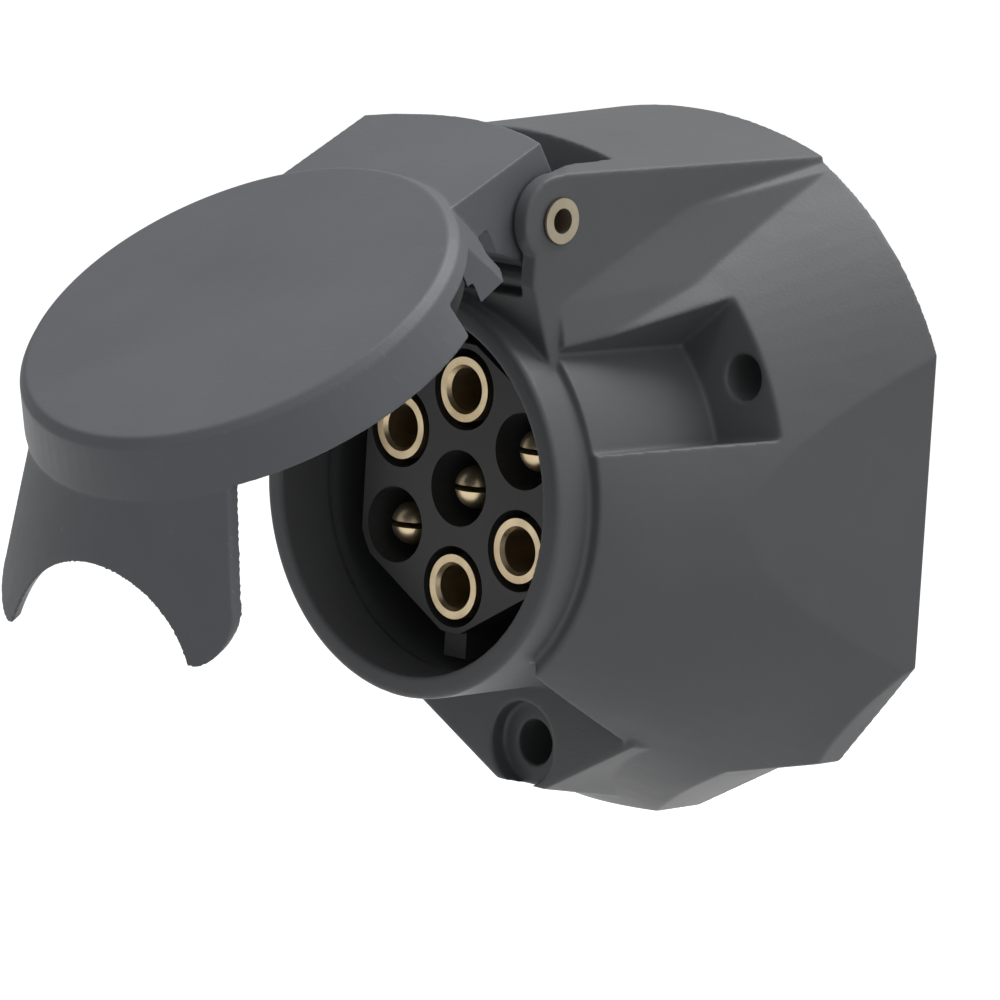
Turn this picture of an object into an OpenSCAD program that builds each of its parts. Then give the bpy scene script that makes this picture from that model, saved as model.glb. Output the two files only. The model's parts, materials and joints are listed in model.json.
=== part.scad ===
// Seven-pole trailer wiring socket with a sprung, hinged lid.
// Millimetres, +Z up. Origin: socket axis at the rear mounting plane; the mouth faces -Y.

/* [Layout] */
// depth from the mounting plane to the plane on which the closed lid rests
rim_z = 45.1; // [35:0.1:60]
// depth from the mounting plane to the contact face
face_z = 37.8; // [25:0.1:50]
// lid opening angle as drawn
lid_open = 57; // [0:1:107]

/* [Housing] */
// cone radius at the mounting plane
cone_r = 45.4; // [35:0.1:60]
// cone radius lost per millimetre of depth
cone_taper = 0.473; // [0.2:0.001:0.7]
// depth at which the cone stops behind the rim
cone_z = 40.8; // [30:0.1:50]
// half width across the side facets at the mounting plane
side_x = 41; // [35:0.1:50]
// side facet taper per millimetre of depth
side_taper = 0.289; // [0:0.001:0.5]
// half width of the flat underside
under_x = 30; // [20:0.5:35]
// height of the flat underside below the axis
under_z = 31.5; // [28:0.1:40]
// height of the bottom boss below the axis
boss_z = 41; // [36:0.1:44]
// half width of the bottom boss crown
boss_x = 7.7; // [5:0.1:12]

/* [Mouth] */
// plug bore radius
bore_r = 21.8; // [18:0.1:26]
// bore radius behind the mouth land
relief_r = 22.1; // [18:0.1:27]
// depth of the mouth land
land_h = 8; // [4:0.5:14]
// depth of the lip from the mounting plane
lip_z = 46.1; // [45:0.1:48]
// neck radius
neck_r = 24.5; // [22:0.1:28]

/* [Fixing holes] */
// fixing hole circle diameter
fix_pcd = 64.66; // [50:0.01:80]
// fixing hole diameter
fix_d = 5.5; // [4:0.1:8]
// depth of the upper pocket floors from the mounting plane
pocket_z = 19.7; // [10:0.1:30]
// lower wall angle of the upper pockets
pocket_a1 = 10.7; // [0:0.1:25]
// upper wall angle of the upper pockets
pocket_a2 = 40; // [25:0.1:60]
// inner radius of the upper pockets
pocket_r = 25.6; // [22:0.1:30]
// half width of the lower pocket
lower_x = 17; // [10:0.1:20]
// depth of the lower pocket floor from the mounting plane
lower_z = 24.3; // [18:0.1:28]
// radius of the spot face around the lower hole
spot_r = 5.2; // [4:0.1:7]
// depth of the spot face from the mounting plane
spot_z = 22; // [10:0.1:24]
// inward lean of the bottom boss per millimetre of depth
boss_lean = 0.155; // [0:0.005:0.3]

/* [Hinge] */
// hinge axis height above the socket axis
hinge_y = 34.4; // [28:0.1:40]
// hinge axis depth from the mounting plane
hinge_z = 41.4; // [30:0.1:50]
// ear end radius
ear_r = 5.4; // [4:0.1:8]
// half width of the hinge block at the rim
block_x = 17; // [14:0.1:22]
// half width of the hinge block at the mounting plane
block_base_x = 21; // [16:0.1:28]
// crown height of the hinge block at the rim
crown_y = 42; // [38:0.1:48]
// crown height of the hinge block at the mounting plane
crown_base_y = 44.4; // [38:0.1:50]
// how much flatter the crown is than an arc about the socket axis
crown_flat = 20; // [0:0.5:40]
// half width of the slot between the ears
slot_x = 15; // [10:0.1:16]
// depth of the slot end wall from the mounting plane
slot_z = 30.8; // [20:0.1:36]
// height of the slot floor above the socket axis
slot_y = 25.4; // [24:0.1:32]
// hinge pin radius
pin_r = 2.4; // [1.5:0.05:4]
// hinge pin bore radius
pin_bore_r = 1.5; // [0.5:0.05:3]
// running clearance around the hinge pin
pin_gap = 0.06; // [0.02:0.01:0.1]

/* [Lid] */
// lid disc radius at its front face
lid_r = 26.7; // [22:0.1:32]
// lid front face depth from the mounting plane
lid_z = 52.1; // [46:0.1:60]
// lid plate thickness
lid_t = 2.8; // [1.5:0.1:5]
// lid skirt radius at the rim plane
skirt_r = 28.6; // [25:0.1:34]
// lid skirt wall thickness
skirt_t = 1.6; // [1:0.1:3]
// long skirt flare per millimetre
skirt_flare = 0.72; // [0:0.01:0.9]
// half width of the skirt shoulder beside the arm
gusset_x = 20.4; // [16:0.1:24]
// height above the socket axis at which the side skirt ends
notch_y = 7; // [0:0.1:15]
// depth of the skirt shoulder from the mounting plane
cheek_z = 42.6; // [40:0.1:46]
// half width over the two prongs at the rim plane
prong_x = 16.3; // [10:0.1:22]
// prong edge spread per millimetre
prong_spread = 0.255; // [0:0.001:0.5]
// prong tip radius
prong_r = 3.4; // [2:0.1:7]
// depth of the prong tips from the mounting plane
prong_z = 29.7; // [18:0.1:40]
// radius of the arch between the prongs
arch_r = 16.7; // [3:0.1:20]
// depth of the arch crown from the mounting plane
arch_z = 38.8; // [25:0.1:44]
// half width of the lid arm
arm_x = 14.6; // [8:0.1:15]
// end radius of the lid arm about the socket axis
arm_r = 41; // [36:0.1:44]
// drop of the arm front face at its end
arm_drop = 3; // [0:0.1:5]
// knuckle radius
knuckle_r = 6; // [4:0.1:8]

/* [Contacts] */
// contact circle radius
contact_r = 11.9; // [8:0.1:15]
// radius of the recess around each pin
well_r = 4.6; // [3:0.1:6]
// radius of the recess around each tube
tube_well_r = 4.9; // [3:0.1:6]
// tube contact outer radius
tube_r = 3.9; // [2:0.05:5]
// tube contact bore radius
tube_bore_r = 2.6; // [1.5:0.05:4]
// pin contact radius
pole_r = 2.6; // [1.5:0.05:4]
// pin contact tip set back behind the face
pole_back = 0.5; // [0:0.1:8]
// key rib width on the contact island
key_w = 3.6; // [2:0.1:6]
// key rib reach from the socket axis
key_r = 20.5; // [18:0.1:21.5]
// slot width in the pin contacts
split_w = 0.7; // [0.3:0.1:1.5]
// terminal barrel radius
barrel_r = 3.4; // [2:0.1:5]
// wire hole radius in the barrels
wire_r = 1.7; // [1:0.1:3]

/* [Rear] */
// wiring cavity radius
cavity_r = 27.2; // [24:0.1:30]
// carrier shoulder depth from the mounting plane
shoulder_z = 18; // [12:0.5:24]
// carrier plate thickness
plate_t = 6; // [3:0.5:10]
// rear cover radius
cover_r = 28.2; // [25:0.1:30]
// rear cover thickness
cover_t = 2.6; // [1.5:0.1:4]
// cable hole radius in the grommet
cable_r = 5.5; // [3:0.1:8]
// flange gasket thickness
gasket_t = 1.5; // [0.5:0.1:3]
// gasket margin inside the housing outline
gasket_in = 2.6; // [1.5:0.1:5]

/* [Part selection] */
// sub-part to draw

/* [Hidden] */
$fn = 96;
far = 120;
eps = 0.02;
lip_round = 0.5;                       // chamfer on the lip
block_foot = 26.8;                     // where the hinge block front meets the rest plane
lid_in_r = 25.9;                       // inside radius of the lid around the neck
fix_r = fix_pcd / 2;
boss_base_x = under_x - 8;             // foot of the bottom boss
boss_base_z = under_z + 1.7;
fix_angles = [30, 150, 270];
carrier_angles = [90, 210, 330];
pole_angles = [30, 90, 150, 210, 270, 330];
plastic = [0.33, 0.34, 0.36];
dark = [0.2, 0.2, 0.21];
rubber = [0.1, 0.1, 0.1];
brass = [0.78, 0.66, 0.38];
steel = [0.7, 0.7, 0.72];
seal_t = 1.2;                          // carrier seal thickness
carrier_gap = 0.2;                     // carrier to cavity clearance
plate_z = shoulder_z - seal_t;         // front of the carrier plate
plate_back = plate_z - plate_t;        // back of the carrier plate
tip_z = face_z - pole_back - pole_r;   // start of the domed pin tip
island_edge = 0.95;                    // wall outside the recesses
island_flat = contact_r * cos(30) + well_r + island_edge;
island_r = contact_r + well_r + island_edge;
tube_angles = [90, 150, 270, 330];
carrier_screw_r = 24.7;                // carrier screw circle
screw_r = 1.3;                         // small screw shank
head_r = 2.4;                          // small screw head
head_h = 1.6;
post_r = 21.2;                         // cover post circle
grommet_r = 10.5;                      // cover hole for the grommet
terminal_z = plate_back - 4.5;         // terminal screw height
spring_half = 5;                       // half length of the spring gap in the knuckle
wire = 0.6;                            // spring wire radius
pin_head_r = pin_r + 0.3;              // rolled end of the hinge pin
coil_r = 4.1;                          // spring coil centre radius
coil_pitch = 1.2;                      // spring coil pitch
coils = 3;                             // spring coils each side of the middle one
leg_len = 5.2;                         // spring leg length
block_z = rim_z + 4;                   // depth at which the hinge block is block_x wide
ear_x = block_base_x - hinge_z * (block_base_x - block_x) / block_z;
blend = [[0, 40.2, 60.5], [22, 35.2, 50.5], [cone_z, 24.7, 42.5]];  // web: depth, height, cone angle
tip_x = prong_x + prong_spread * (rim_z - prong_z - prong_r) - prong_r;

// front frame: x right, y up, z out of the mouth
module front() rotate([90, 0, 0]) children();

// drum about the socket axis between two depths
module drum(r, z0, z1, r2 = 0) translate([0, 0, z0])
    cylinder(h = z1 - z0, r1 = r, r2 = r2 > 0 ? r2 : r);

// bar along x about a point of the y-z plane
module bar(y, z, r, x0, x1) translate([x0, y, z]) rotate([0, 90, 0]) cylinder(h = x1 - x0, r = r);

// extrude a y-z profile along x
module side(x0, x1) translate([x0, 0, 0]) rotate([90, 0, 90]) linear_extrude(height = x1 - x0) children();

// rear outline below the crown, shrunk by m
module outline(m) polygon([[-side_x - 6, far / 2], [side_x + 6, far / 2], [side_x + 6 - m, -11 + m],
    [under_x - m, -under_z + m], [boss_base_x - m, -boss_base_z + m], [boss_x - m, -boss_z + m],
    [-boss_x + m, -boss_z + m], [m - boss_base_x, -boss_base_z + m], [-under_x + m, -under_z + m],
    [-side_x - 6 + m, -11 + m]]);

// flattened crown over the cone and the hinge block
module crown() translate([0, -crown_flat, 0])
    drum(crown_base_y + crown_flat, 0, block_z, crown_y + crown_flat);

module cone_body() {
    intersection() {
        drum(cone_r, 0, cone_z, cone_r - cone_taper * cone_z);
        linear_extrude(height = cone_z) outline(0);
        crown();
        rotate([90, 0, 0]) translate([0, 0, -far / 2]) linear_extrude(height = far)
            polygon([[-side_x, 0], [side_x, 0], [side_x - side_taper * cone_z, cone_z],
                     [side_taper * cone_z - side_x, cone_z]]);
    }
    drum(neck_r, shoulder_z, lip_z - lip_round);
    drum(neck_r, lip_z - lip_round, lip_z, neck_r - lip_round);
}

// open pocket over the lower fixing hole
module lower_pocket() difference() {
    translate([-lower_x, -far, lower_z]) cube([2 * lower_x, far - 18, far]);
    drum(neck_r, 0, far);
}

// half section of the bottom boss, leaning inwards by m
module boss_plan(m) polygon([[-boss_base_x + m, -boss_base_z + m], [-boss_x + m, -boss_z + m],
    [boss_x - m, -boss_z + m], [boss_base_x - m, -boss_base_z + m], [lower_x, -neck_r], [-lower_x, -neck_r]]);

// boss carrying the lower fixing hole beyond the cone
module lower_boss() hull() {
    linear_extrude(height = eps) boss_plan(0);
    translate([0, 0, lower_z - eps]) linear_extrude(height = eps) boss_plan(boss_lean * lower_z);
}

// corner of the web between the hinge block flank and the cone, at entry i of the blend table
module web_slice(i) {
    z = min(blend[i][0], cone_z - eps);
    r = cone_r - cone_taper * z - 0.05;
    x = block_base_x - z * (block_base_x - block_x) / block_z;
    a = blend[i][2];
    translate([0, 0, z]) linear_extrude(height = eps)
        polygon([[x - 3, r * sin(a) - 3], [r * cos(a), r * sin(a)], [x, blend[i][1]], [x - 3, blend[i][1]]]);
}

module webs() for (s = [0, 1], i = [0, 1]) mirror([s, 0, 0]) hull() { web_slice(i); web_slice(i + 1); }

module hinge_block() intersection() {
    crown();
    rotate([90, 0, 0]) translate([0, 0, -far / 2]) linear_extrude(height = far)
        polygon([[-block_base_x, 0], [block_base_x, 0], [block_x, block_z], [-block_x, block_z]]);
    side(-far / 2, far / 2) {
        translate([hinge_y, hinge_z]) circle(r = ear_r);
        polygon([[0, 0], [far / 2, 0], [hinge_y + ear_r + 4, hinge_z - 14], [hinge_y + ear_r, hinge_z],
                 [hinge_y - 4, hinge_z + 3.6], [block_foot, rim_z], [20.5, rim_z - 2.4], [15, rim_z - 4.3],
                 [0, rim_z - 6]]);
    }
}

// wedge-shaped pocket over an upper fixing hole; s = -1 mirrors it to the left
module upper_pocket(s) difference() {
    translate([0, 0, pocket_z]) linear_extrude(height = far)
        polygon([[s * 15.5, 16.9], [s * 22.4, 7.4],
                 [s * (22.4 + 40 * cos(pocket_a1)), 7.4 + 40 * sin(pocket_a1)],
                 [s * (15.5 + 50 * cos(pocket_a2)), 16.9 + 50 * sin(pocket_a2)]]);
    drum(pocket_r, 0, far);
}

module housing() color(plastic) front() {
    difference() {
        union() {
            difference() {
                union() { cone_body(); hinge_block(); webs(); }
                lower_pocket();
            }
            lower_boss();
        }
        translate([0, -fix_r, spot_z]) cylinder(h = far, r = spot_r);
        drum(bore_r, lip_z - land_h, far);
        drum(relief_r, shoulder_z - 1, lip_z - land_h + eps);
        drum(cavity_r, cover_t - 1, shoulder_z);
        drum(cover_r + 0.15, -1, cover_t);
        linear_extrude(height = 2 * gasket_t, center = true) gasket_plan();
        for (s = [-1, 1]) upper_pocket(s);
        for (a = fix_angles) rotate(a) translate([fix_r, 0, -1]) cylinder(h = far, r = fix_d / 2);
        translate([-slot_x, slot_y, slot_z]) cube([2 * slot_x, far, far]);
        bar(hinge_y, hinge_z, pin_r, -far / 2, far / 2);
        for (s = [-1, 1]) translate([s * (ear_x + 2), hinge_y, hinge_z]) rotate([0, 90, 0])
            cylinder(h = 4, r = pin_head_r, center = true);
        for (a = carrier_angles) rotate(a) translate([carrier_screw_r, 0, shoulder_z - 1])
            cylinder(h = 9, r = screw_r);
    }
}

module gasket_plan() difference() {
    intersection() {
        circle(r = cone_r - gasket_in);
        outline(gasket_in);
        square([2 * (side_x - gasket_in), far], center = true);
    }
    circle(r = cover_r + 1.6);
}

module flange_gasket() color(rubber) front() difference() {
    linear_extrude(height = gasket_t) gasket_plan();
    for (a = fix_angles) rotate(a) translate([fix_r, 0, -1]) cylinder(h = far, r = fix_d / 2 + 0.3);
}

module at_poles() {
    for (a = pole_angles) rotate(a) translate([contact_r, 0, 0]) children();
    children();
}

module contact_carrier() color(dark) front() difference() {
    union() {
        drum(cavity_r - carrier_gap, plate_back, plate_z);
        intersection() {
            rotate(30) translate([0, 0, plate_z - 1])
                cylinder(h = face_z - plate_z + 1, r = island_flat / cos(30), $fn = 6);
            drum(island_r, plate_z - 1, face_z);
        }
        for (s = [0, 180]) rotate(s) translate([post_r, 0, cover_t])
            cylinder(h = plate_back - cover_t + 1, r = 3.2);
        translate([-key_w / 2, -key_r, plate_z - 1]) cube([key_w, key_r - contact_r - well_r, face_z - plate_z]);
    }
    at_poles() {
        translate([0, 0, plate_z + 2]) cylinder(h = far, r = well_r);
        translate([0, 0, plate_back - 1]) cylinder(h = far, r = pole_r);
    }
    for (a = tube_angles) rotate(a) translate([contact_r, 0, plate_z + 2]) cylinder(h = far, r = tube_well_r);
    for (a = carrier_angles) rotate(a) translate([carrier_screw_r, 0, plate_back - 1])
        cylinder(h = far, r = screw_r + 0.2);
    for (s = [0, 180]) rotate(s) translate([post_r, 0, cover_t - 1]) cylinder(h = 8, r = screw_r);
}

module carrier_seal() color(rubber) front() difference() {
    drum(cavity_r - carrier_gap, plate_z, shoulder_z);
    drum(relief_r, 0, far);
    for (a = carrier_angles) rotate(a) translate([carrier_screw_r, 0, 0]) cylinder(h = far, r = screw_r + 0.2);
}

module carrier_screws() color(steel) front() for (a = carrier_angles) rotate(a)
    translate([carrier_screw_r, 0, plate_back]) difference() {
        union() {
            translate([0, 0, -head_h]) cylinder(h = head_h, r = head_r);
            cylinder(h = plate_t + seal_t + 7, r = screw_r);
        }
        translate([-0.4, -far / 2, -head_h - 1]) cube([0.8, far, 1.7]);
    }

// shank, collar and terminal barrel shared by every contact
module contact_root() {
    translate([0, 0, plate_back]) cylinder(h = plate_t + 3, r = pole_r);
    translate([0, 0, plate_z + 2]) cylinder(h = 1.6, r = tube_r + 0.3);
    difference() {
        translate([0, 0, cover_t + 1.6]) cylinder(h = plate_back - cover_t - 1.6, r = barrel_r);
        cylinder(h = plate_back - 1.4, r = wire_r);
        children();
    }
}

// grub screw position, turned to point out of the ring of barrels
module grub(a, l) translate([0, 0, terminal_z]) rotate(a) translate([wire_r - 0.4, 0, 0]) rotate([0, 90, 0])
    cylinder(h = l, r = 1.25);

module tube_contact(a) color(brass) front() rotate(a) translate([contact_r, 0, 0]) {
    contact_root() grub(0, far);
    difference() {
        translate([0, 0, plate_z + 2]) cylinder(h = face_z - plate_z - 2, r = tube_r);
        translate([0, 0, plate_z + 5]) cylinder(h = far, r = tube_bore_r);
        translate([0, 0, face_z - 0.5]) cylinder(h = 0.6, r1 = tube_bore_r, r2 = tube_bore_r + 0.45);
    }
}

module pin_contact(a, d) color(brass) front() rotate(a) translate([d, 0, 0]) {
    contact_root() grub(0, far);
    difference() {
        union() {
            translate([0, 0, plate_z + 2]) cylinder(h = tip_z - plate_z - 2, r = pole_r);
            translate([0, 0, tip_z]) intersection() {
                sphere(r = pole_r);
                cylinder(h = pole_r + 1, r = pole_r);
            }
        }
        rotate(-a) translate([-far / 2, -split_w / 2, plate_z + 8]) cube([far, split_w, far]);
    }
}

module tube_contact_12() tube_contact(90);
module tube_contact_10() tube_contact(150);
module tube_contact_6() tube_contact(270);
module tube_contact_4() tube_contact(330);
module pin_contact_2() pin_contact(30, contact_r);
module pin_contact_8() pin_contact(210, contact_r);
module pin_contact_centre() pin_contact(60, 0);

module grub_screw() difference() {
    grub(0, 3.6);
    translate([wire_r + 2.6, -0.3, terminal_z - far / 2]) cube([far, 0.6, far]);
}

module terminal_screws() color(steel) front() {
    for (a = pole_angles) rotate(a) translate([contact_r, 0, 0]) grub_screw();
    rotate(60) grub_screw();
}

module rear_cover() color(dark) front() difference() {
    drum(cover_r, 0, cover_t);
    drum(grommet_r, -1, far);
    for (s = [0, 180]) rotate(s) translate([post_r, 0, 0]) {
        translate([0, 0, -1]) cylinder(h = far, r = screw_r + 0.2);
        translate([0, 0, -1]) cylinder(h = 1 + head_h, r = head_r + 0.2);
    }
}

module cover_screws() color(steel) front() for (s = [0, 180]) rotate(s) translate([post_r, 0, 0])
    difference() {
        union() {
            translate([0, 0, 0.2]) cylinder(h = head_h - 0.2, r = head_r);
            cylinder(h = cover_t + 6, r = screw_r);
        }
        translate([-0.4, -far / 2, -1]) cube([0.8, far, 2]);
        translate([0, 0, -1]) cylinder(h = 1.2, r = head_r);
    }

module cable_grommet() color(rubber) front() rotate_extrude()
    polygon([[cable_r, 0], [grommet_r, 0], [grommet_r, cover_t], [grommet_r + 1.2, cover_t],
             [grommet_r + 1.2, cover_t + 1.2], [cable_r, cover_t + 1.2]]);

module hinge_pin() color(brass) front() translate([0, hinge_y, hinge_z]) rotate([0, 90, 0])
    rotate_extrude() polygon([[pin_bore_r, -ear_x - 0.3], [pin_head_r, -ear_x - 0.3],
        [pin_head_r, -ear_x], [pin_r, -ear_x], [pin_r, ear_x],
        [pin_head_r, ear_x], [pin_head_r, ear_x + 0.3], [pin_bore_r, ear_x + 0.3]]);

// coil pack as one ribbed sleeve, with a leg at each end
module hinge_spring() color(steel) front() translate([0, hinge_y, hinge_z]) {
    rotate([0, 90, 0]) rotate_extrude() polygon(concat(
        [for (i = [-coils:coils]) each [[coil_r + wire * 0.4, (i - 0.5) * coil_pitch],
                                        [coil_r + wire, i * coil_pitch]]],
        [[coil_r + wire * 0.4, (coils + 0.5) * coil_pitch], [coil_r - wire, (coils + 0.5) * coil_pitch],
         [coil_r - wire, -(coils + 0.5) * coil_pitch]]));
    translate([-coils * coil_pitch, -coil_r, slot_z + 0.1 - hinge_z])
        cylinder(h = hinge_z - slot_z, r = wire - 0.08);
    translate([coils * coil_pitch, 0, 0]) rotate([-lid_open, 0, 0]) translate([0, -leg_len, coil_r])
        rotate([-90, 0, 0]) cylinder(h = leg_len, r = wire - 0.08);
}

// place closed-lid geometry at the drawn opening angle
module opened() translate([0, -hinge_z, hinge_y]) rotate([-lid_open, 0, 0])
    translate([0, hinge_z, -hinge_y]) front() children();

// long skirt cone from the prong tips to the rim plane, inset by t
module flare(t) drum(skirt_r - t + skirt_flare * (rim_z - prong_z + 4), prong_z - 4, rim_z + 1,
    skirt_r - t - skirt_flare);

// outer skin of the disc and its skirt
module disc_skin() {
    drum(skirt_r, rim_z + 0.2, lid_z - 1, lid_r + 0.2);
    drum(lid_r + 0.2, lid_z - 1, lid_z, lid_r - 0.8);
}

module disc() difference() {
    disc_skin();
    drum(skirt_r - skirt_t, 0, lid_z - lid_t);
    for (s = [0, 1]) mirror([s, 0, 0]) side(gusset_x, far)
        polygon([[notch_y, 0], [notch_y + 1.5, lid_z - lid_t], [far, lid_z - lid_t], [far, 0]]);
}

module prong_plan() difference() {
    union() {
        polygon([[-prong_x, rim_z + 2], [prong_x, rim_z + 2], [tip_x + prong_r, prong_z + prong_r],
                 [-tip_x - prong_r, prong_z + prong_r]]);
        for (s = [-1, 1]) translate([s * tip_x, prong_z + prong_r]) circle(r = prong_r);
    }
    translate([0, arch_z - arch_r]) circle(r = arch_r);
}

module long_skirt() intersection() {
    difference() { flare(0); flare(skirt_t); }
    rotate([90, 0, 0]) linear_extrude(height = far) prong_plan();
}

// solid shoulder between the arm and the side skirt, deeper where it passes the hinge block
module shoulder() {
    intersection() {
        disc_skin();
        translate([-gusset_x, 0, rim_z + 0.3]) cube([2 * gusset_x, far, far]);
    }
    for (s = [0, 1]) mirror([s, 0, 0]) intersection() {
        difference() {
            drum(skirt_r + 0.8, cheek_z, rim_z + 0.4, skirt_r);
            drum(lid_in_r + 0.6, 0, far);
        }
        translate([block_x + 0.9, 0, 0]) cube([gusset_x - block_x - 0.9, far, far]);
    }
}

module arm() difference() {
    intersection() {
        drum(arm_r, 0, far);
        side(-arm_x, arm_x) {
            translate([hinge_y, hinge_z]) circle(r = knuckle_r);
            polygon([[14, lid_z - lid_t], [14, lid_z], [arm_r, lid_z - arm_drop],
                     [arm_r, hinge_z + 1.6], [hinge_y, hinge_z], [hinge_y - knuckle_r + 0.6, hinge_z - 2.4],
                     [26.2, cheek_z - 0.6], [26.2, rim_z + 0.3], [22, rim_z + 0.3]]);
        }
    }
    bar(hinge_y, hinge_z, pin_r + pin_gap, -far / 2, far / 2);
    side(-spring_half, spring_half) translate([hinge_y, hinge_z]) circle(r = coil_r + 1.4);
    translate([-spring_half, hinge_y - 11, hinge_z]) cube([2 * spring_half, 11, coil_r + 1.4]);
    translate([-spring_half, hinge_y - 8, hinge_z - far]) cube([2 * spring_half, far, far]);
}

module lid() color(plastic) opened() {
    difference() {
        union() { disc(); arm(); long_skirt(); shoulder(); }
        drum(lid_in_r, 0, lid_z - lid_t);
    }
}

module lid_seal() color(rubber) opened() difference() {
    drum(lid_in_r - 0.1, lip_z + 0.05, lid_z - lid_t);
    drum(bore_r + 0.6, 0, far);
}

housing();
flange_gasket();
contact_carrier();
carrier_seal();
carrier_screws();
tube_contact_12();
tube_contact_10();
tube_contact_6();
tube_contact_4();
pin_contact_2();
pin_contact_8();
pin_contact_centre();
terminal_screws();
rear_cover();
cover_screws();
cable_grommet();
hinge_pin();
hinge_spring();
lid();
lid_seal();
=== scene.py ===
import json
import math
import bpy
from mathutils import Matrix, Vector


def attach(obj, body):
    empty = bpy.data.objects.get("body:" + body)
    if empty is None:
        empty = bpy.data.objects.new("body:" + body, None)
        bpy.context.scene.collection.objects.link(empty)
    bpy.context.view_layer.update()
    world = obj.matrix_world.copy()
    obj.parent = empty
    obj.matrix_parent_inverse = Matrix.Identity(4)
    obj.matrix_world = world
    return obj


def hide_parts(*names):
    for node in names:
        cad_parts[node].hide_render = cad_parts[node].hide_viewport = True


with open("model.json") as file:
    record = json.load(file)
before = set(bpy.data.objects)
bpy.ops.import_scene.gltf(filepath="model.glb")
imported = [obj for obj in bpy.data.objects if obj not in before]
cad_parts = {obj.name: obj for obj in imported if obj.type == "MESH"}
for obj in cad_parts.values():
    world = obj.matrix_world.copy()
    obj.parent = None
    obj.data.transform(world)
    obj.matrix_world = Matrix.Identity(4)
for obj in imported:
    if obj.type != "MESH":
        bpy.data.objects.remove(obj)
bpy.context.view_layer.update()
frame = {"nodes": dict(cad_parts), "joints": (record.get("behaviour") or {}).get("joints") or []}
NODES = frame["nodes"]
MM = 0.001


# ---------------------------------------------------------------- materials
class Tree:
    """Builds one node material, link by link."""

    def __init__(self, name):
        self.mat = bpy.data.materials.new(name)
        self.mat.use_nodes = True
        self.nt = self.mat.node_tree
        self.bsdf = self.nt.nodes["Principled BSDF"]
        self.coord = self.nt.nodes.new("ShaderNodeTexCoord").outputs["Object"]

    def node(self, kind, inputs=(), **props):
        n = self.nt.nodes.new(kind)
        for key, value in props.items():
            setattr(n, key, value)
        for key, value in dict(inputs).items():
            self.feed(n.inputs[key], value)
        return n

    def feed(self, socket, value):
        if isinstance(value, bpy.types.NodeSocket):
            self.nt.links.new(value, socket)
        else:
            socket.default_value = value

    def noise(self, scale, detail=3.0, rough=0.55):
        inputs = {"Vector": self.coord, "Scale": scale, "Detail": detail, "Roughness": rough}
        return self.node("ShaderNodeTexNoise", inputs).outputs["Fac"]

    def ramp(self, fac, stops):
        n = self.node("ShaderNodeValToRGB", {"Fac": fac})
        for i, (at, value) in enumerate(stops):
            e = n.color_ramp.elements[i] if i < 2 else n.color_ramp.elements.new(at)
            e.position = at
            e.color = value if len(value) == 4 else (*value, 1)
        return n.outputs["Color"]

    def grey(self, fac, stops):
        return self.ramp(fac, [(at, (v, v, v)) for at, v in stops])

    def mix(self, fac, a, b):
        n = self.node("ShaderNodeMix", data_type="RGBA")
        self.feed(n.inputs[0], fac)
        self.feed(n.inputs[6], a)
        self.feed(n.inputs[7], b)
        return n.outputs[2]

    def bump(self, height, strength, distance, normal=None):
        n = self.node("ShaderNodeBump", {"Height": height, "Strength": strength, "Distance": distance})
        if normal:
            self.feed(n.inputs["Normal"], normal)
        return n.outputs["Normal"]

    def surface(self, **values):
        for key, value in values.items():
            self.feed(self.bsdf.inputs[key.replace("_", " ")], value)
        return self.mat


def scaled(colour, by):
    return [*[c * by for c in colour], 1]


def plastic(name, base, worn_and_highlit, rough, grain, edge=0.35):
    """Moulded plastic: cloudy tone, fine grain, paler edges that are partly rubbed wear and partly a
    painted highlight.
    """
    t = Tree(name)
    cloud = t.noise(38, 4)
    tone = t.mix(t.grey(cloud, [(0.3, 0.0), (0.7, 1.0)]), scaled(base, 0.93), scaled(base, 1.08))
    pointed = t.node("ShaderNodeNewGeometry").outputs["Pointiness"]
    # paler sharp edges from pointiness: partly rubbed wear, partly a painted highlight where light
    # catches the edges; edge sets how pale they get
    edge_wear_and_highlight = t.grey(pointed, [(0.56, 0.0), (0.68, edge)])
    speck = t.grey(t.noise(900, 2), [(0.62, 0.0), (0.78, 0.22)])
    colour = t.mix(edge_wear_and_highlight, tone, [*worn_and_highlit, 1])
    colour = t.mix(speck, colour, scaled(base, 1.25))
    roughness = t.grey(t.noise(60, 5), [(0.25, rough - 0.06), (0.8, rough + 0.08)])
    normal = t.bump(t.noise(grain, 2, 0.6), 0.22, 0.00012, t.bump(t.noise(70, 2), 0.12, 0.0006))
    return t.surface(Base_Color=colour, Roughness=roughness, Specular_IOR_Level=0.3, Normal=normal)


def rubber(name, base):
    """Matt rubber with patches of pale dust."""
    t = Tree(name)
    dust = t.grey(t.noise(90, 5), [(0.45, 0.0), (0.8, 0.5)])
    colour = t.mix(dust, [*base, 1], scaled(base, 2.1))
    return t.surface(Base_Color=colour, Roughness=t.grey(t.noise(140, 3), [(0.2, 0.7), (0.8, 0.9)]),
                     Specular_IOR_Level=0.3, Normal=t.bump(t.noise(1500, 2), 0.25, 0.0001))


TOOL_MARKS = 2600


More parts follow.
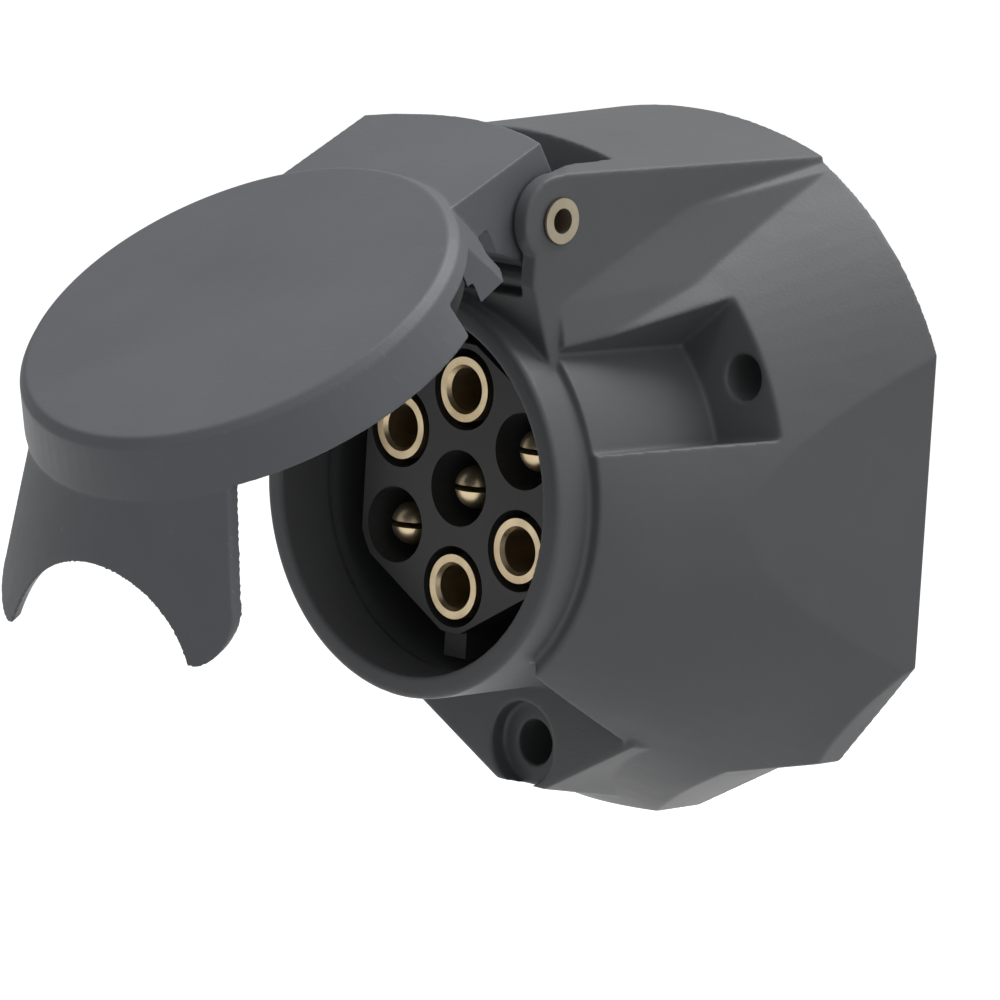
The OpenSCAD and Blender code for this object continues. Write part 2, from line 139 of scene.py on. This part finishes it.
def metal(name, base, tarnish, rough, amount):
    """Turned metal: tool marks, uneven tarnish, duller where it is stained."""
    t = Tree(name)
    stain = t.grey(t.noise(170, 6, 0.62), [(0.38, 0.0), (0.74, amount)])
    colour = t.mix(stain, [*base, 1], [*tarnish, 1])
    turned = {"Vector": t.coord, "Scale": TOOL_MARKS, "Distortion": 1.5, "Detail": 2.0}
    wave = t.node("ShaderNodeTexWave", turned, wave_type="BANDS", bands_direction="Y").outputs["Fac"]
    roughness = t.mix(0.45, t.grey(t.noise(320, 4), [(0.2, rough - 0.08), (0.8, rough + 0.12)]),
                      t.grey(stain, [(0.0, rough), (1.0, rough + 0.3)]))
    return t.surface(Base_Color=colour, Metallic=0.92, Roughness=roughness,
                     Normal=t.bump(wave, 0.08, 0.00003, t.bump(t.noise(700, 2), 0.08, 0.00006)))


FINE_GRAIN = 2600
# the second colour of each plastic is its pale edge tone: partly wear, partly a painted highlight
HOUSING = plastic("housing_plastic", (0.098, 0.101, 0.106), (0.17, 0.175, 0.182), 0.5, FINE_GRAIN)
LID = plastic("lid_plastic", (0.112, 0.117, 0.127), (0.19, 0.198, 0.212), 0.47, FINE_GRAIN)
CARRIER = plastic("carrier_plastic", (0.058, 0.058, 0.06), (0.10, 0.10, 0.104), 0.42, 3200, 0.3)
RUBBER = rubber("rubber", (0.022, 0.022, 0.023))
BRASS = metal("contact_brass", (0.58, 0.48, 0.31), (0.36, 0.25, 0.14), 0.28, 0.7)
HINGE_BRASS = metal("hinge_brass", (0.40, 0.35, 0.26), (0.25, 0.21, 0.14), 0.4, 0.6)
SPRING = metal("spring_steel", (0.42, 0.42, 0.43), (0.22, 0.2, 0.17), 0.34, 0.5)
SCREW = metal("screw_steel", (0.42, 0.42, 0.41), (0.26, 0.24, 0.2), 0.36, 0.55)
# nodes shown as the CAD drew them; any not named here are brass contacts
LOOK = {
    "flange_gasket": RUBBER, "carrier_seal": RUBBER, "lid_seal": RUBBER, "cable_grommet": RUBBER,
    "contact_carrier": CARRIER, "rear_cover": CARRIER, "hinge_pin": HINGE_BRASS,
    "carrier_screws": SCREW, "terminal_screws": SCREW, "cover_screws": SCREW,
}


# ---------------------------------------------------------------- geometry
WELD_GAP = 0.01 * MM
LID_OPEN = math.radians(57)
# the wound spring: centre radius and width of its coils, whole turns, points along it, wire radius
COIL_R, WIDTH, COILS, STEPS, WIRE_R = 4.1 * MM, 7.2 * MM, 6, 150, 0.52 * MM
FIRST_TURN, LAST_TURN = math.pi / 2, math.tau * COILS + math.radians(123)
LEG = 2.5 * MM  # a longer leg meets the lid at its limits
EDGE_SEGMENTS, EDGE_ANGLE = 3, math.radians(35)


def smooth_shaded(mesh):
    mesh.polygons.foreach_set("use_smooth", [True] * len(mesh.polygons))


def modifiers_applied(obj):
    graph = bpy.context.evaluated_depsgraph_get()
    mesh = bpy.data.meshes.new_from_object(obj.evaluated_get(graph))
    obj.modifiers.clear()
    obj.data = mesh


def moulded(node, mat, slot, voxel, rounds, keep, tilt=0.0):
    """A softened copy of a CAD node: every edge and inside corner gets a small moulding radius.

    voxel is the sampling grid, rounds the smoothing passes, keep the share of faces kept. tilt turns
    the copy square to the grid while it is softened, and back again afterwards.
    """
    src = NODES[node]
    obj = bpy.data.objects.new(node + "_moulded", src.data.copy())
    obj.matrix_world = src.matrix_world.copy()
    bpy.context.scene.collection.objects.link(obj)
    obj.data.transform(Matrix.Rotation(tilt, 4, "X"))
    weld = obj.modifiers.new("weld", "WELD")
    weld.merge_threshold = WELD_GAP
    remesh = obj.modifiers.new("remesh", "REMESH")
    remesh.mode, remesh.voxel_size, remesh.use_smooth_shade = "VOXEL", voxel, True
    smooth = obj.modifiers.new("smooth", "SMOOTH")
    smooth.factor, smooth.iterations = 0.5, rounds
    if keep < 1:
        obj.modifiers.new("thin", "DECIMATE").ratio = keep
    modifiers_applied(obj)
    obj.data.transform(Matrix.Rotation(-tilt, 4, "X"))
    obj.data.materials.clear()
    obj.data.materials.append(mat)
    smooth_shaded(obj.data)
    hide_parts(node)
    return obj


def carried(node, mat, width):
    """A CAD node shown as it is, with a fine rolled edge."""
    obj = NODES[node]
    obj.data.materials.clear()
    obj.data.materials.append(mat)
    bevel = obj.modifiers.new("edge", "BEVEL")
    bevel.width, bevel.segments, bevel.limit_method = width, EDGE_SEGMENTS, "ANGLE"
    bevel.angle_limit, bevel.harden_normals = EDGE_ANGLE, False
    bevel.use_clamp_overlap = True


def wound_spring(mat):
    """The hinge spring as wound wire with two short legs, in place of the CAD sleeve."""
    hinge = Vector(frame["joints"][0]["pos_m"])
    path = []
    for i in range(STEPS + 1):
        a = FIRST_TURN + (LAST_TURN - FIRST_TURN) * i / STEPS
        across = WIDTH * (i / STEPS - 0.5)
        path.append(Vector((across, COIL_R * math.cos(a), COIL_R * math.sin(a))))
    path.insert(0, path[0] + Vector((0, LEG, 0)))
    path.append(path[-1] + LEG * Vector((0, -math.sin(LID_OPEN), -math.cos(LID_OPEN))))
    curve = bpy.data.curves.new("hinge_spring_wire", "CURVE")
    curve.dimensions, curve.use_fill_caps = "3D", True
    curve.bevel_depth, curve.bevel_resolution = WIRE_R, 4
    spline = curve.splines.new("POLY")
    spline.points.add(len(path) - 1)
    for point, at in zip(spline.points, path):
        point.co = (*(hinge + at), 1)
    obj = bpy.data.objects.new("hinge_spring_wire", curve)
    bpy.context.scene.collection.objects.link(obj)
    mesh = bpy.data.meshes.new_from_object(obj.evaluated_get(bpy.context.evaluated_depsgraph_get()))
    bpy.data.objects.remove(obj)
    wire = bpy.data.objects.new("hinge_spring_wire", mesh)
    bpy.context.scene.collection.objects.link(wire)
    mesh.materials.clear()
    mesh.materials.append(mat)
    smooth_shaded(mesh)
    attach(wire, "socket")
    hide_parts("hinge_spring")


SOFTEN = {"housing": (0.22 * MM, 14, 0.135), "lid": (0.15 * MM, 16, 0.19)}
EDGE, CONTACT_EDGE = 0.12 * MM, 0.1 * MM

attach(moulded("housing", HOUSING, "housing_plastic", *SOFTEN["housing"]), "socket")
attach(moulded("lid", LID, "lid_plastic", *SOFTEN["lid"], tilt=LID_OPEN), "lid")
wound_spring(SPRING)
for name in NODES:
    if name not in ("housing", "lid", "hinge_spring"):
        slim = "contact_" in name or "pin" in name
        carried(name, LOOK.get(name, BRASS), CONTACT_EDGE if slim else EDGE)


# ---------------------------------------------------------------- stage
def soft_light(name, size, power, at, aim):
    """A square area light; size in metres, power in watts."""
    data = bpy.data.lights.new(name, "AREA")
    data.shape, data.size, data.size_y, data.energy = "RECTANGLE", size, size, power
    obj = bpy.data.objects.new(name, data)
    obj.location = at
    obj.rotation_euler = (Vector(aim) - Vector(at)).to_track_quat("-Z", "Y").to_euler()
    bpy.context.scene.collection.objects.link(obj)


def pale(name, value, glow):
    """A matt near-white surface that also gives off a little light."""
    t = Tree(name)
    tone = t.grey(t.noise(2, 3), [(0.3, value - 0.005), (0.7, value + 0.005)])
    return t.surface(Base_Color=tone, Roughness=0.9, Emission_Color=tone, Emission_Strength=glow)


FLOOR_SIZE, FLOOR_Z = 12, -0.16
bpy.ops.mesh.primitive_plane_add(size=FLOOR_SIZE, location=(0, 0, FLOOR_Z))
floor = bpy.context.object
floor.name = "floor"
floor.data.materials.append(pale("floor", 0.9, 0.62))
floor.visible_diffuse = False


def studio(world, seen, reflected, sky):
    """White to the camera, even to reflections, and brighter overhead than below for soft light.

    seen and reflected are strengths; sky holds the strengths straight below and straight above.
    """
    world.use_nodes = True
    nt = world.node_tree

    def link(a, b):
        nt.links.new(a, b)

    def shade(strength):
        n = nt.nodes.new("ShaderNodeBackground")
        n.inputs["Color"].default_value, n.inputs["Strength"].default_value = (1, 1, 1, 1), strength
        return n

    def blend(fac, a, b):
        n = nt.nodes.new("ShaderNodeMixShader")
        for socket, source in zip(n.inputs, (fac, a, b)):
            link(source, socket)
        return n.outputs[0]

    rays = nt.nodes.new("ShaderNodeLightPath").outputs
    height = nt.nodes.new("ShaderNodeSeparateXYZ")
    link(nt.nodes.new("ShaderNodeTexCoord").outputs["Generated"], height.inputs[0])
    ramp = nt.nodes.new("ShaderNodeMapRange")
    link(height.outputs["Z"], ramp.inputs["Value"])
    for key, value in (("From Min", -1), ("From Max", 1), ("To Min", sky[0]), ("To Max", sky[1])):
        ramp.inputs[key].default_value = value
    soft = shade(1)
    link(ramp.outputs[0], soft.inputs["Strength"])
    inside = blend(rays["Is Glossy Ray"], soft.outputs[0], shade(reflected).outputs[0])
    link(blend(rays["Is Camera Ray"], inside, shade(seen).outputs[0]), nt.nodes["World Output"].inputs[0])


bpy.context.scene.world = bpy.data.worlds.new("studio")
studio(bpy.context.scene.world, seen=1.05, reflected=0.42, sky=(0.06, 0.62))

CENTRE = Vector((0, -0.03, 0))
soft_light("key", 0.5, 5.3, (0.12, 0.22, 0.7), CENTRE)
soft_light("side", 0.4, 0.95, (0.78, -0.12, 0.2), CENTRE)
soft_light("spark", 0.06, 0.2, (0.035, -0.59, 0.41), CENTRE)

# camera: fitted to the photo from the axis directions and the mouth; angles in degrees, lengths in m
AZIMUTH, ELEVATION, ROLL, DISTANCE = 44.0, 8.99, 3.39, 0.81709
SHIFT_X, SHIFT_Y, PIVOT_Y = -0.004937, 0.001387, 0.0378
LENS, SENSOR, CLIP_NEAR, CLIP_FAR = 247.26, 36, 0.01, 50
az, el, ro = (math.radians(v) for v in (AZIMUTH, ELEVATION, ROLL))
back = Vector((math.sin(az) * math.cos(el), -math.cos(az) * math.cos(el), math.sin(el)))
right0 = Vector((math.cos(az), math.sin(az), 0))
up0 = back.cross(right0)
right = right0 * math.cos(ro) + up0 * math.sin(ro)
up = up0 * math.cos(ro) - right0 * math.sin(ro)
eye = back * DISTANCE - right * SHIFT_X - up * SHIFT_Y - Vector((0, PIVOT_Y, 0))
cam = bpy.data.objects.new("camera", bpy.data.cameras.new("camera"))
cam.data.lens, cam.data.sensor_width = LENS, SENSOR
cam.data.clip_start, cam.data.clip_end = CLIP_NEAR, CLIP_FAR
cam.matrix_world = Matrix((right, up, back)).transposed().to_4x4()
cam.location = eye
bpy.context.scene.collection.objects.link(cam)
bpy.context.scene.camera = cam
bpy.context.scene.view_settings.view_transform = "Standard"
